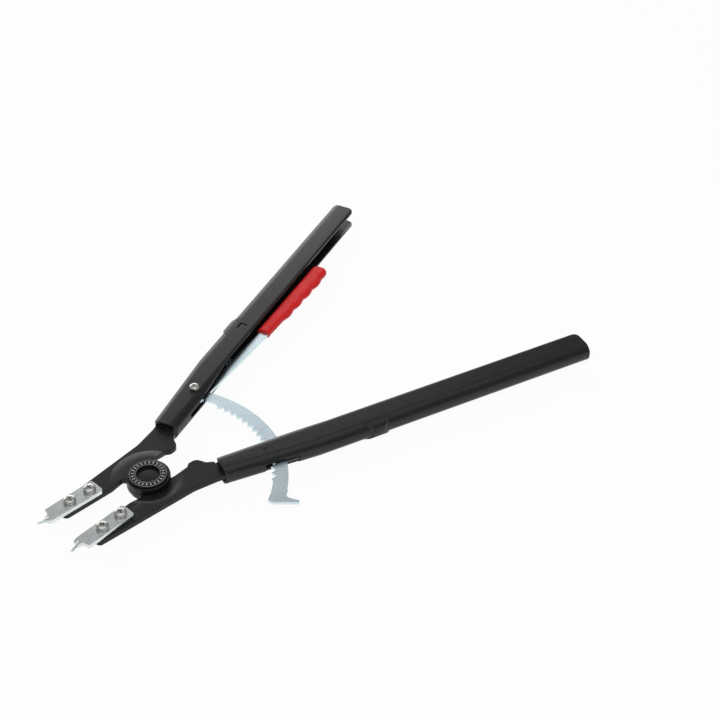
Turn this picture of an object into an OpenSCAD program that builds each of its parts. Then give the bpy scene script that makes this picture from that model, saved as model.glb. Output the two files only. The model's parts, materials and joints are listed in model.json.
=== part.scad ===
// Circlip pliers for shaft rings, with exchangeable tips and a ratchet lock.
// The pivot axis is Z, the handles point along +X and the upper arm lies on +Y.
// Z = 0 is the surface that the tool lies on. All sizes are in millimetres.

/* [Handles] */
// Angle of each handle from the centre line, as the tool lies half open
handle_angle = 18.2; // [16:0.1:21]
// Height of the pressed channel
handle_h = 20.5; // [19:0.5:22]
// Thickness of the channel's sheet
sheet_t = 2.5; // [2:0.1:3]
// Distance of the socket's mouth from the pivot, along the handle
handle_start = 64; // [62:1:70]
// Distance of the handle's rear end from the pivot, along the handle
handle_end = 473; // [420:1:520]
// Distance of the web's outer face from the line through the pivot
web_offset = 41.4; // [40:0.1:43]
// Depth of the channel behind its open side
channel_depth = 27.6; // [26:0.1:29]
// How much further in the closed socket reaches than the channel
socket_bulge = 5.2; // [4.4:0.1:6]
// Length of the closed socket
socket_len = 30; // [26:1:32]
// How much the web stands in at the socket's mouth
mouth_narrow = 7.3; // [6:0.1:8.5]
// Outer radius of the rolled lips on the open side
lip_r = 8.2; // [7:0.1:9]
// Gap between the rolled lips, behind the socket
lip_gap = 5; // [4.5:0.1:7]
// Outer radius of the rolled web's edges
web_edge_r = 9.2; // [8:0.1:9.4]
// Radius of the corners at the rear end
end_corner_r = 7; // [4:0.5:9]

/* [Spring pocket] */
// Place of the pocket's middle along the handle
pocket_place = 225.5; // [215:0.5:240]
// Length of the pocket
pocket_len = 17; // [14:0.5:22]
// How far the pocket stands out of the web
pocket_rise = 2.3; // [1:0.1:3]
// Width of the slit beside the lanced tab
slit_w = 1.6; // [0.8:0.1:2]
// Length of the lanced tab along the handle
tab_len = 8.5; // [6:0.5:12]
// Width of the lanced tab across the handle
tab_w = 6; // [4:0.5:8]

/* [Jaws] */
// Thickness of the forged jaw
jaw_t = 6; // [5:0.5:7]
// Distance of the jaw's front end from the pivot
jaw_len = 86; // [80:1:95]
// Distance of the jaw's inner edge from the centre line, at its front end
jaw_gap_front = 15.8; // [14:0.1:18]
// The same distance beside the pivot
jaw_gap_rear = 12.5; // [11:0.1:14]
// Width of the jaw at its front end
jaw_front_w = 16.8; // [15:0.1:19]
// Distance of the jaw's outer edge from the centre line, behind the pivot
jaw_shoulder = 41.4; // [38:0.1:45]
// Radius of the round boss at the pivot
boss_r = 21; // [20.5:0.1:23]
// Radius of the flat seat around the pivot
seat_r = 24; // [23:0.5:27]
// Radius where the slope around the seat ends
slope_r = 36; // [32:0.5:40]
// Distance of the closing stop from the pivot
stop_place = 43; // [40:0.5:46]
// Height of the closing stop above the centre line
stop_gap = 12.7; // [12.6:0.1:14]

/* [Pivot] */
// Radius of the bolt's shank
shank_r = 12; // [11:0.1:13]
// Radius of the bolt's head and of the ring nut
head_r = 18.8; // [18:0.1:20.4]
// Thickness of the bolt's head
head_t = 1.3; // [1.2:0.1:2.4]
// Thickness of the spring washer
washer_t = 0.5; // [0.3:0.1:0.8]
// Radius of the recess in the bolt's head
recess_r = 10.8; // [9:0.1:11]
// Depth of the recess down to the cap
recess_depth = 2.6; // [2:0.1:4]
// Thickness of the cap's rim
cap_t = 1.2; // [0.8:0.1:2]
// Rise of the cap's dome
cap_dome = 0.7; // [0.3:0.1:1]

/* [Tips] */
// Thickness of the tip plate
tip_t = 4; // [3.6:0.1:5]
// How far the tip plate's nose stands out in front of the jaw
tip_reach = 17.5; // [12:0.5:24]
// Length of the tip plate that lies on the jaw
tip_lap = 43.5; // [40:0.5:46]
// Width of the tip plate
tip_w = 17; // [16:0.1:18]
// Depth of the relief beside the nose
tip_relief = 7; // [6:0.5:12]
// Width of the nose
nose_w = 8.4; // [7:0.1:10]
// Radius of the ring pin
pin_r = 1.75; // [1.2:0.05:1.8]
// Length of the ring pin in front of its seat
pin_len = 6.6; // [5:0.1:10]
// Angle by which the ring pin points outwards
pin_splay = 15; // [5:1:20]

/* [Tip screws] */
// Thread diameter of the tip screws
tip_screw_d = 6; // [5:0.5:6.5]
// Distance of the front tip screw from the jaw's front end
tip_screw_front = 12; // [8:0.5:14]
// Distance of the rear tip screw from the jaw's front end
tip_screw_rear = 34; // [30:0.5:36]

/* [Ratchet] */
// Thickness of the ratchet plate
plate_t = 3; // [2.5:0.1:4]
// Outer radius of the rack, around the pivot
rack_r = 132; // [130:0.5:134]
// Width of the rack without its teeth
rack_w = 11.3; // [10:0.1:12]
// Angle between two teeth, seen from the pivot
tooth_pitch = 4; // [3.9:0.05:4.1]
// Depth of the teeth
tooth_depth = 4.7; // [4:0.1:5]
// Number of teeth
tooth_count = 16; // [14:1:16]
// Direction of the first tooth from the pivot
first_tooth = 13.9; // [12:0.1:15]
// Direction of the rack's end from the pivot
rack_end = -59.9; // [-64:0.1:-58]
// How far the stop foot reaches past the rack's outer edge
foot_reach = 14; // [8:0.5:16]
// Thickness of the stop foot's toe
foot_t = 3; // [2:0.1:4]

/* [Lever] */
// Place of the lever's pivot along the handle
lever_place = 122.2; // [120:0.1:125]
// Distance of the lever's pivot from the line through the main pivot
lever_offset = 20.7; // [20:0.1:22]
// Radius of the lever's hub
hub_r = 10.5; // [9:0.1:11]
// Width of the lever
lever_w = 9; // [8:0.1:10]
// Place of the lever's rear end along the handle
lever_end = 356; // [340:1:362]
// Distance of the lever's middle from the line through the main pivot, at the grip's front
lever_mid = 5; // [4:0.1:6]
// How far the lever's direction leans away from the handle, as a slope
lever_slope = 0.06; // [0.05:0.005:0.09]
// Thread diameter of the lever's screw
lever_screw_d = 5; // [4:0.5:5.5]
// Outer radius of the lever's bush
bush_r = 4; // [3.8:0.1:4.6]
// Outer radius of the spacers beside the lever
spacer_r = 5.6; // [5.2:0.1:5.8]

/* [Grip] */
// Place of the grip's front end along the handle
grip_start = 239; // [230:1:250]
// Place of the grip's rear end along the handle
grip_end = 367; // [360:1:372]
// Thickness of the grip
grip_t = 9; // [8:0.5:10.5]
// Width of the grip at its front end
grip_front_w = 13.6; // [13:0.1:16]
// Width of the grip at its rear end
grip_rear_w = 18.4; // [16:0.1:20]
// Number of finger ridges
ridge_count = 4; // [3:1:5]
// Distance between two finger ridges
ridge_pitch = 20; // [16:0.5:22]
// Height of the finger ridges
ridge_h = 2.2; // [1:0.1:3]

/* [Catch] */
// Radius of the catch pin
catch_r = 1.8; // [1.6:0.1:2]
// How far the rack swings in from rest, in degrees, until the pin sits between two teeth
engage_angle = 1.4; // [1:0.1:1.5]
// How far the rack swings out from rest, in degrees, when the lever is squeezed
release_angle = 5; // [4:0.1:5.2]

/* [Clearances] */
// Radial clearance of pieces that turn on each other
run_fit = 0.05; // [0.02:0.01:0.1]
// Clearance between pieces that pass each other
pass_gap = 0.35; // [0.3:0.05:0.6]

/* [Travel] */
// How far the upper arm opens from rest, in degrees
open_angle = 16; // [12:4:16]

/* [Hidden] */
$fn = 96;

// Overlap that keeps joined and cut shapes free of shared faces
bite = 0.5;
// Size of a block that is larger than the whole tool
far = 1200;

// Heights
mid_z = handle_h / 2;
arm_z = mid_z - jaw_t / 2;
arm_top = mid_z + jaw_t / 2;
boss_top = mid_z + jaw_t;
tip_top = arm_top + tip_t;
flange_z = handle_h - sheet_t;
plate_z = mid_z - plate_t / 2;
plate_top = mid_z + plate_t / 2;

// Channel across the handle
inner_n = web_offset - channel_depth;
socket_n = inner_n - socket_bulge;
web_in = web_offset - sheet_t;
socket_end = handle_start + socket_len;
flare_len = 86;
flare_end = socket_end + flare_len;
taper_len = 80;
taper_end = socket_end + taper_len;
taper_angle = atan(mouth_narrow / (taper_end - handle_start));
mouth_edge_r = 0.95 * lip_r;
tang_inset = 2.5;
tang_start = handle_start + tang_inset;
tang_in = socket_n + sheet_t;
tang_out = web_in - mouth_narrow;
pocket_r = (pow(pocket_len / 2, 2) + pow(pocket_rise, 2)) / (2 * pocket_rise);
pocket_centre = [pocket_place, web_offset + pocket_rise - pocket_r];
tab_inset = 13.3;
tab_corner = [pocket_place + tab_len, web_offset - tab_inset];
plan_room = 0.3;
pocket_front = web_offset + pocket_rise - web_edge_r - plan_room;
end_web_r = 1;
mouth_corner_r = 7;
mouth_lean = 0.8;
mouth_lip_r = 7;
bulge_run = 8;
flare_r = 100;
lip_step = 1;

// Jaw
jaw_corner_r = 4.5;
crotch_r = 3.5;
crotch_lap = 0.5;
stop_w = 9;
stop_rise = 3.3;
stop_lean = 0.5;
stop_edge_r = 4;
stop_back_r = 7;
neck_back = 8.5;
neck_rise = 10.9;
neck_gap = 0.4;
bend_r = 30;
shoulder_back = 6;
shoulder_r = 12;
tang_room = 0.2;

// Tip plate
tip_nose = jaw_len + tip_reach;
tip_rear = jaw_len - tip_lap;
tip_inset_front = 0.4;
tip_inset_rear = 1.2;
tip_inner_front = jaw_gap_front + tip_inset_front;
tip_inner_rear = jaw_gap_rear + tip_inset_rear;
tip_taper = 0.8;
tip_corner_r = 2.8;
tip_edge_r = 1;
nose_outer = tip_inner_front + nose_w;
nose_drop = 1.5;
nose_run = 6;
nose_r = 3.5;
nose_blend_r = 8;
relief_r = 3.2;
relief_lean = 1.5;
relief_step = 0.4;
pin_inset = 1.2;
pin_root = 4;
pin_seat_len = 0.95;
pin_seat_step = 0.45;
pin_seat = pin_root + pin_seat_len;
pin_seat_r = pin_r + pin_seat_step;
screw_inset_front = 8;
screw_inset_rear = 6.6;
screw_front = [tip_screw_front - jaw_len, jaw_gap_front + screw_inset_front];
screw_rear = [tip_screw_rear - jaw_len, jaw_gap_front + screw_inset_rear];

// Cross recessed pan head screws, in proportion to their thread
head_d_ratio = 2;
head_h_ratio = 0.77;
recess_ratio = 0.55;
recess_w_ratio = 0.17;
rim_ratio = 0.45;
dome_sweep = 80;

// Rack and lever
root_r = rack_r - rack_w;
tooth_r = root_r - tooth_depth;
steep_share = 0.4;
plain_rise = 1.5;
plain_r = tooth_r + plain_rise;
foot_overlap = 0.3;
foot_root = 9;
foot_bend = 8;
foot_heel = 2.2;
foot_lean = 3.5;
foot_edge_r = 1.2;
lever_axis = on_handle(lever_place, lever_offset);
hub_angle = atan2(lever_axis[1], lever_axis[0]);
hub_slope = 0.02;
lever_front_slope = lever_slope + hub_slope;
grip_slope = lever_slope / 2;
bar_lap = 3;
bar_end_r = 4;
bar_rise = 14;
bar_rise_r = 12;
grip_shift = 1;
grip_tail = 16.5;
ridge_start = grip_end - grip_tail - ridge_count * ridge_pitch;
ridge_steps = 6;
tail_inner_r = 8;
tail_outer_r = 6;
// Inset of each layer of the grip, and its share of the thickness
grip_layers = [[0, 0.6], [0.9, 0.84], [2.4, 1]];
nut_t = 0.7 * lever_screw_d;
nut_flats_r = 0.92 * lever_screw_d;
nut_top = sheet_t + nut_t;

// Catch
catch_tooth = 11;
catch_lead = 1.1;
catch_angle = first_tooth - tooth_pitch * catch_tooth + catch_lead;
catch_axis = polar(tooth_r - pass_gap - catch_r, catch_angle);
catch_reach = norm(polar(norm(lever_axis), hub_angle + open_angle) - catch_axis);
slot_n = web_offset - mouth_narrow / 2;
slot_reach = sheet_t;
slot_start = sqrt(pow(tooth_r, 2) - pow(slot_n, 2)) - catch_reach * sin(engage_angle) - 3 * pass_gap;
slot_end = sqrt(pow(rack_r, 2) - pow(slot_n, 2)) + catch_reach * sin(release_angle) + 3 * pass_gap;
slot_head = 1;
slot_top = plate_top + slot_head;

// Leaf spring
strip_t = 1;
strip_w = 8;
spring_span = 41.3;
spring_drop = 2.3;
spring_gap = 0.4;
spring_bend = 3;
spring_bend_r = 5;
spring_toe = 6;
spring_toe_r = 4;
spring_lift = 2;

// Colours
black_paint = [0.2, 0.2, 0.2];
zinc = [0.75, 0.8, 0.83];
bright_zinc = [0.66, 0.68, 0.69];
red_vinyl = [0.75, 0.16, 0.16];
spring_steel = [0.45, 0.46, 0.48];

// Point at radius r and direction a, seen from the pivot
function polar(r, a) = [r * cos(a), r * sin(a)];

// Point s along the upper handle and n across it, in the tool's frame
function on_handle(s, n) = [
    s * cos(handle_angle) - n * sin(handle_angle),
    s * sin(handle_angle) + n * cos(handle_angle)
];

// Corner at p between the points before and after it, as an arc of radius p[2]
function corner(before, p, after, steps) =
    let (
        here = [p[0], p[1]],
        u = ([before[0], before[1]] - here) / norm([before[0], before[1]] - here),
        w = ([after[0], after[1]] - here) / norm([after[0], after[1]] - here),
        angle = acos(max(-1, min(1, u * w))),
        centre = here + (u + w) / norm(u + w) * p[2] / sin(angle / 2),
        start = here + u * p[2] / tan(angle / 2) - centre,
        turn = (u[0] * w[1] - u[1] * w[0]) > 0 ? angle - 180 : 180 - angle,
        first = atan2(start[1], start[0])
    )
    p[2] == 0 ? [here] : [for (i = [0 : steps]) centre + polar(p[2], first + turn * i / steps)];

// Outline through points [x, y, corner radius]
function rounded(points, steps = 8) = [
    for (i = [0 : len(points) - 1])
        each corner(
            points[(i + len(points) - 1) % len(points)], points[i], points[(i + 1) % len(points)], steps
        )
];

// The same shape turned over about the centre line
module turned_over() {
    translate([0, 0, handle_h]) rotate([180, 0, 0]) children();
}

// Mirror image for the lower arm
module lower_side() {
    mirror([0, 1, 0]) children();
}

// The upper handle's own frame: X along the handle, Y across it
module handle_frame() {
    rotate([0, 0, handle_angle]) children();
}

// A section of the handle drawn in Y and Z, drawn out from s0 to s1
module along(s0, s1) {
    translate([s0, 0, 0]) rotate([90, 0, 90]) linear_extrude(s1 - s0) children();
}

// Rectangle with one radius on its low side and another on its high side
module box_section(n0, n1, z0, z1, low_r, high_r) {
    polygon(rounded([[n0, z0, low_r], [n1, z0, high_r], [n1, z1, high_r], [n0, z1, low_r]]));
}

// Jaw

// Outline of the upper jaw, from the front end back to the tang
module jaw_outline() {
    polygon(rounded([
        [-jaw_len, jaw_gap_front, jaw_corner_r],
        [-shank_r, jaw_gap_rear, 0],
        [shank_r, jaw_gap_rear, 0],
        [stop_place - stop_w, stop_gap + stop_rise, stop_edge_r],
        [stop_place - stop_w / 2, stop_gap, stop_edge_r],
        [stop_place + stop_w / 2, stop_gap + stop_lean, stop_back_r],
        [stop_place + neck_back, stop_gap + neck_rise, stop_edge_r],
        [each on_handle(handle_start - neck_gap, socket_n + neck_gap), 0],
        [each on_handle(handle_start - neck_gap, tang_in + tang_room), 0],
        [each on_handle(tang_start + bite, tang_in + tang_room), 0],
        [each on_handle(tang_start + bite, tang_out - tang_room), 0],
        [each on_handle(handle_start - shoulder_back, tang_out - 3 * tang_room), shoulder_r],
        [stop_place / 2, jaw_shoulder, bend_r],
        [-jaw_len, jaw_gap_front + jaw_front_w, jaw_corner_r]
    ]));
    circle(r = boss_r);
    crotch_fillet();
}

// Round transition from the jaw's inner edge into the boss
module crotch_fillet() {
    y = jaw_gap_rear - crotch_r + crotch_lap;
    buried = jaw_gap_rear + 4 * crotch_lap;
    centre = [-sqrt(pow(boss_r + crotch_r, 2) - pow(y, 2)), y];
    difference() {
        polygon([
            [centre[0], buried],
            [centre[0], centre[1]],
            centre * boss_r / (boss_r + crotch_r),
            [-shank_r, buried]
        ]);
        translate(centre) circle(r = crotch_r);
    }
}

// Slope around the pivot, from the arm's level at height z up to the boss
module pivot_slope(z) {
    run = slope_r - seat_r;
    lift = jaw_t / 2;
    translate([0, 0, z - bite])
        cylinder(r1 = slope_r + bite * run / lift, r2 = seat_r, h = lift + bite);
}

// The tang fills the socket behind the jaw's shoulder
module tang() {
    handle_frame() intersection() {
        tube(sheet_t);
        translate([tang_start, 0, 0]) cube([socket_end - bite - tang_start, far, handle_h]);
    }
}

module jaw_forging() {
    difference() {
        union() {
            intersection() {
                translate([0, 0, arm_z]) linear_extrude(1.5 * jaw_t) jaw_outline();
                union() {
                    translate([-far / 2, -far / 2, arm_z]) cube([far, far, jaw_t]);
                    pivot_slope(arm_top);
                }
            }
            tang();
        }
        pivot_slope(arm_z);
        cylinder(r = shank_r + run_fit, h = far, center = true);
        for (p = [screw_front, screw_rear])
            translate(p) cylinder(d = tip_screw_d + 2 * run_fit, h = far, center = true);
    }
}

module upper_jaw() {
    color(black_paint) jaw_forging();
}

module lower_jaw() {
    color(black_paint) turned_over() jaw_forging();
}

// Tips

// Outline of the upper tip plate, with its nose and the relief beside it
module tip_outline() {
    outer = tip_inner_front + tip_w - tip_taper;
    polygon(rounded([
        [-tip_nose, tip_inner_front + nose_drop, nose_r],
        [-tip_nose + nose_run, tip_inner_front, nose_blend_r],
        [-tip_rear, tip_inner_rear, tip_corner_r],
        [-tip_rear, outer - tip_taper, tip_corner_r],
        [-tip_nose + tip_relief, outer, tip_edge_r],
        [-tip_nose + tip_relief - relief_lean, nose_outer + relief_step, relief_r],
        [-tip_nose, nose_outer, tip_edge_r]
    ]));
}

module tip_plate() {
    root = [-tip_nose + pin_root, nose_outer - pin_r - pin_inset, arm_top + tip_t / 2];
    difference() {
        translate([0, 0, arm_top]) linear_extrude(tip_t) tip_outline();
        for (p = [screw_front, screw_rear])
            translate(p) cylinder(d = tip_screw_d + 4 * run_fit, h = far, center = true);
    }
    translate(root) rotate([0, -90, -pin_splay]) {
        cylinder(r = pin_seat_r, h = pin_seat);
        cylinder(r = pin_r, h = pin_seat + pin_len);
    }
}

module upper_tip_insert() {
    color(bright_zinc) tip_plate();
}

module lower_tip_insert() {
    color(bright_zinc) lower_side() tip_plate();
}

// Fasteners

// Pan head screw of thread diameter d, seated on z = 0, reaching down by length
module pan_screw(d, length) {
    head_r_mm = d * head_d_ratio / 2;
    head_h_mm = d * head_h_ratio;
    rim = head_h_mm * rim_ratio;
    difference() {
        union() {
            rotate_extrude() polygon(concat(
                [[0, 0], [head_r_mm, 0]],
                [
                    for (i = [0 : 8])
                        let (a = dome_sweep * i / 8)
                        [head_r_mm * cos(a), rim + (head_h_mm - rim) * sin(a)]
                ],
                [[0, head_h_mm]]
            ));
            translate([0, 0, -length]) cylinder(d = d, h = length + bite);
        }
        for (a = [0, 90])
            rotate([0, 0, a]) translate([-d * recess_ratio, -d * recess_w_ratio / 2, rim])
                cube([2 * d * recess_ratio, d * recess_w_ratio, head_h_mm]);
    }
}

module tip_screw_pair() {
    for (p = [screw_front, screw_rear])
        translate([p[0], p[1], tip_top]) pan_screw(tip_screw_d, tip_t + jaw_t);
}

module upper_tip_screws() {
    color(zinc) tip_screw_pair();
}

module lower_tip_screws() {
    color(zinc) lower_side() tip_screw_pair();
}

// Pivot

head_z = boss_top + washer_t;
groove = 0.3;
groove_inset = 1.4;
cap_edge = 1;
washer_inset = 0.8;
spanner_r = 2;
head_top = head_z + head_t;
cap_z = head_top - recess_depth;

module pivot_bolt() {
    color(black_paint) difference() {
        union() {
            cylinder(r = shank_r, h = head_z + bite);
            translate([0, 0, head_z]) cylinder(r = head_r, h = head_t - groove);
            translate([0, 0, head_top - groove]) cylinder(r1 = head_r, r2 = head_r - groove, h = groove);
        }
        translate([0, 0, cap_z - cap_t]) cylinder(r = recess_r, h = far);
        for (r = [recess_r + groove_inset, head_r - groove_inset])
            translate([0, 0, head_top - groove]) difference() {
                cylinder(r = r + groove, h = far);
                cylinder(r = r - groove, h = far);
            }
    }
}

module pivot_cap() {
    dome_rim = recess_r - cap_edge;
    dome_r = (pow(dome_rim, 2) + pow(cap_dome, 2)) / (2 * cap_dome);
    color(black_paint) translate([0, 0, cap_z - cap_t]) {
        cylinder(r = recess_r - run_fit, h = cap_t);
        intersection() {
            translate([0, 0, cap_t + cap_dome - dome_r]) sphere(r = dome_r, $fn = 200);
            translate([0, 0, cap_t - bite]) cylinder(r = dome_rim, h = cap_dome + 2 * bite);
        }
    }
}

module pivot_washer() {
    color(spring_steel) translate([0, 0, boss_top]) difference() {
        cylinder(r = head_r - washer_inset, h = washer_t);
        cylinder(r = shank_r + run_fit, h = far, center = true);
    }
}

module pivot_nut() {
    color(black_paint) difference() {
        cylinder(r = head_r, h = mid_z - jaw_t);
        cylinder(r = shank_r + run_fit, h = far, center = true);
        for (side = [-1, 1])
            translate([side * (shank_r + head_r) / 2, 0]) cylinder(r = spanner_r, h = far, center = true);
    }
}

// Handles

// Frame of the web's front part, which stands in towards the mouth
module taper_frame() {
    translate([taper_end, web_offset, 0]) rotate([0, 0, taper_angle]) translate([-taper_end, -web_offset, 0])
        children();
}

// Plan of the handle's flanges, in the handle's frame
module handle_plan() {
    polygon(rounded([
        [handle_start, web_offset - mouth_narrow + plan_room, mouth_corner_r],
        [handle_start + mouth_lean, socket_n - plan_room, mouth_lip_r],
        [socket_end + bulge_run, socket_n - plan_room, 0],
        [flare_end, inner_n, flare_r],
        [handle_end, inner_n, end_corner_r],
        [handle_end, web_offset + plan_room, end_web_r],
        [taper_end, web_offset + plan_room, 0]
    ]));
}

// Rounded tube that the channel is rolled to, drawn in by inset on all sides
module tube(inset) {
    top = handle_h - inset;
    intersection() {
        along(handle_start - bite, handle_end + bite)
            box_section(socket_n + inset, web_offset - inset, inset, top, lip_r - inset, web_edge_r - inset);
        taper_frame() along(0, far)
            box_section(-far / 4, web_offset - inset, inset, top, 0, mouth_edge_r - inset);
    }
}

// Gap between the lips, which widens to the channel's inner height
module lip_slot() {
    half = lip_gap / 2;
    wide = handle_h / 2 - sheet_t - lip_step;
    translate([0, tang_in + 2 * lip_step, mid_z]) rotate([90, 0, 0]) linear_extrude(2 * lip_r) polygon([
        [socket_end, -half],
        [flare_end, -wide],
        [handle_end + bite, -wide],
        [handle_end + bite, wide],
        [flare_end, wide],
        [socket_end, half]
    ]);
}

// Round swelling of the web that holds the spring's end
module pocket_wall() {
    intersection() {
        along(pocket_place - pocket_len, pocket_place + pocket_len)
            box_section(pocket_front, web_offset + pocket_rise, 0, handle_h, 0, web_edge_r);
        translate(pocket_centre) cylinder(r = pocket_r, h = handle_h);
    }
}

module pocket_room() {
    intersection() {
        along(pocket_place - pocket_len, pocket_place + pocket_len)
            box_section(pocket_front, web_in + pocket_rise, sheet_t, flange_z, 0, web_edge_r - sheet_t);
        translate(pocket_centre) cylinder(r = pocket_r - sheet_t, h = handle_h);
    }
}

// L-shaped slit beside the tab that holds the spring
module tab_slit() {
    translate([tab_corner[0] - tab_len, tab_corner[1], flange_z - bite])
        cube([tab_len, slit_w, sheet_t + 2 * bite]);
    translate([tab_corner[0] - slit_w, tab_corner[1] - tab_w, flange_z - bite])
        cube([slit_w, tab_w + bite, sheet_t + 2 * bite]);
}

module pressing() {
    difference() {
        union() {
            intersection() {
                tube(0);
                linear_extrude(handle_h) handle_plan();
            }
            pocket_wall();
        }
        tube(sheet_t);
        lip_slot();
        pocket_room();
        tab_slit();
    }
}

module upper_handle() {
    color(black_paint) difference() {
        handle_frame() pressing();
        translate(lever_axis) cylinder(d = lever_screw_d + 2 * run_fit, h = far, center = true);
    }
}

module lower_handle() {
    color(black_paint) difference() {
        turned_over() handle_frame() difference() {
            pressing();
            taper_frame() translate([slot_start, web_in - slot_reach, handle_h - slot_top])
                cube([slot_end - slot_start, slot_reach + sheet_t + 2 * bite, slot_top + bite]);
        }
        translate(catch_axis) cylinder(r = catch_r + run_fit / 2, h = far, center = true);
    }
}

module catch_pin() {
    color(black_paint) translate(catch_axis) cylinder(r = catch_r, h = handle_h);
}

// Ratchet and lever

// Root of a tooth's steep flank, and the tooth's tip
function tooth(k) =
    let (tip = first_tooth - tooth_pitch * k)
    [polar(root_r, tip + steep_share * tooth_pitch), polar(tooth_r, tip)];

// Points on an arc of radius r between two directions
function arc(r, from, to, steps = 8) = [for (i = [0 : steps]) polar(r, from + (to - from) * i / steps)];

// Toothed arc from the lever's hub to the foot, plain past the last tooth
module rack_arc() {
    toothed_from = first_tooth + tooth_pitch;
    last_tip = first_tooth - tooth_pitch * (tooth_count - 1);
    plain_from = last_tip - (1 - steep_share) * tooth_pitch * plain_rise / tooth_depth;
    intersection() {
        circle(r = rack_r, $fn = 200);
        polygon(concat(
            arc(2 * rack_r, rack_end, hub_angle),
            arc(root_r, hub_angle, toothed_from),
            [for (k = [0 : tooth_count - 1]) each tooth(k)],
            arc(plain_r, plain_from, rack_end)
        ));
    }
}

// Foot that stops the rack at the web, drawn with X along the rack's radius at its end
module rack_foot() {
    inner = plain_r - foot_overlap;
    tip_x = rack_r + foot_reach;
    rotate([0, 0, rack_end]) polygon(rounded([
        [inner, foot_root, 0],
        [inner, -foot_heel / 2, 2 * foot_edge_r],
        [rack_r - foot_bend, -foot_heel, 2 * foot_edge_r],
        [tip_x, foot_lean, foot_edge_r / 2],
        [tip_x, foot_lean + foot_t, foot_edge_r / 2],
        [rack_r, foot_lean + 1.4 * foot_t, 4 * foot_edge_r],
        [rack_r, foot_root + foot_bend, 0],
        [rack_r - foot_edge_r, foot_root + foot_bend, 0]
    ]));
}

// Middle of the lever across the handle, at the place s along it
function lever_n(s) = lever_mid - (s < grip_start ? lever_front_slope : grip_slope) * (s - grip_start);

module lever_bar() {
    half = lever_w / 2;
    rise_end = lever_place + hub_r + bar_rise;
    handle_frame() polygon(rounded([
        [lever_place - bar_lap, lever_n(lever_place - bar_lap) - half, 0],
        [grip_start, lever_n(grip_start) - half, 0],
        [lever_end, lever_n(lever_end) - half, bar_end_r],
        [lever_end, lever_n(lever_end) + half, bar_end_r],
        [grip_start, lever_n(grip_start) + half, 0],
        [rise_end, lever_n(rise_end) + half, bar_rise_r],
        [lever_place, lever_offset + hub_r - bar_lap / 3, 0]
    ]));
}

module lever_shape() {
    translate(lever_axis) circle(r = hub_r);
    lever_bar();
    rack_arc();
    rack_foot();
}

module ratchet_lever() {
    color(zinc) translate([0, 0, plate_z]) linear_extrude(plate_t) difference() {
        lever_shape();
        translate(lever_axis) circle(r = bush_r + run_fit);
    }
}

// Grip

function grip_n(s) = lever_n(s) + grip_shift;
function grip_half(s) =
    (grip_front_w + (grip_rear_w - grip_front_w) * (s - grip_start) / (grip_end - grip_start)) / 2;
function ridge(s) =
    s < ridge_start || s > ridge_start + ridge_count * ridge_pitch
        ? 0
        : ridge_h * abs(sin(180 * (s - ridge_start) / ridge_pitch));

// Quarter round of radius r about a centre, from the direction a on
function quarter(centre, r, a) = [for (i = [0 : 8]) centre + polar(r, a + 90 * i / 8)];

// Outline of the grip, drawn in by inset on all sides
module grip_outline(inset) {
    ridge_step = ridge_pitch / ridge_steps;
    tail = grip_end - inset;
    inner_r = tail_inner_r - inset;
    outer_r = tail_outer_r - inset;
    front = [grip_start + inset / 2, grip_n(grip_start)];
    front_half = [0, grip_half(grip_start) - inset];
    tail_half = grip_half(grip_end) - inset;
    polygon(concat(
        [front - front_half],
        [
            for (i = [0 : ridge_steps * ridge_count])
                let (s = ridge_start + i * ridge_step)
                [s, grip_n(s) - grip_half(s) - ridge(s) + inset]
        ],
        quarter([tail - inner_r, grip_n(grip_end) - tail_half + inner_r], inner_r, -90),
        quarter([tail - outer_r, grip_n(grip_end) + tail_half - outer_r], outer_r, 0),
        [front + front_half]
    ));
}

module lever_grip() {
    color(red_vinyl) difference() {
        handle_frame()
            for (layer = grip_layers)
                translate([0, 0, mid_z - layer[1] * grip_t / 2])
                    linear_extrude(layer[1] * grip_t) grip_outline(layer[0]);
        translate([0, 0, plate_z]) linear_extrude(plate_t) lever_bar();
    }
}

// Lever's pivot

module lever_screw() {
    color(zinc) translate([lever_axis[0], lever_axis[1], handle_h])
        pan_screw(lever_screw_d, handle_h - pass_gap);
}

// Ring around the lever's axis from z0 to z1
module lever_ring(inner_r, outer_r, z0, z1) {
    translate([lever_axis[0], lever_axis[1], z0]) difference() {
        cylinder(r = outer_r, h = z1 - z0);
        cylinder(r = inner_r, h = far, center = true);
    }
}

module lever_bush() {
    color(spring_steel) lever_ring(lever_screw_d / 2 + run_fit, bush_r, nut_top, flange_z);
}

module lever_spacer() {
    color(spring_steel) lever_ring(bush_r + run_fit, spacer_r, plate_top + run_fit, flange_z - pass_gap);
}

module lever_washer() {
    color(spring_steel) lever_ring(bush_r + run_fit, spacer_r, nut_top, plate_z - run_fit);
}

module lever_nut() {
    color(zinc) translate([lever_axis[0], lever_axis[1], sheet_t]) difference() {
        rotate([0, 0, handle_angle]) cylinder(r = nut_flats_r, h = nut_t, $fn = 6);
        cylinder(d = lever_screw_d + 2 * run_fit, h = far, center = true, $fn = 96);
    }
}

// Leaf spring from the pocket to the lever's outer edge
module lever_spring() {
    seat = web_in + pocket_rise - spring_drop;
    bend = pocket_place - spring_bend;
    touch = pocket_place - spring_span;
    toe = touch - spring_toe;
    touch_n = lever_n(touch) + lever_w / 2 + spring_gap;
    color(spring_steel) handle_frame() translate([0, 0, mid_z - strip_w / 2]) linear_extrude(strip_w)
        polygon(rounded([
            [pocket_place + pocket_len / 4, seat, 0],
            [pocket_place + pocket_len / 4, seat + strip_t, 0],
            [bend, seat + strip_t, spring_bend_r + strip_t],
            [touch, touch_n + strip_t, spring_toe_r],
            [toe, touch_n + strip_t + spring_lift, 0],
            [toe, touch_n + spring_lift, 0],
            [touch, touch_n, spring_toe_r],
            [bend, seat, spring_bend_r]
        ]));
}

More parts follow.
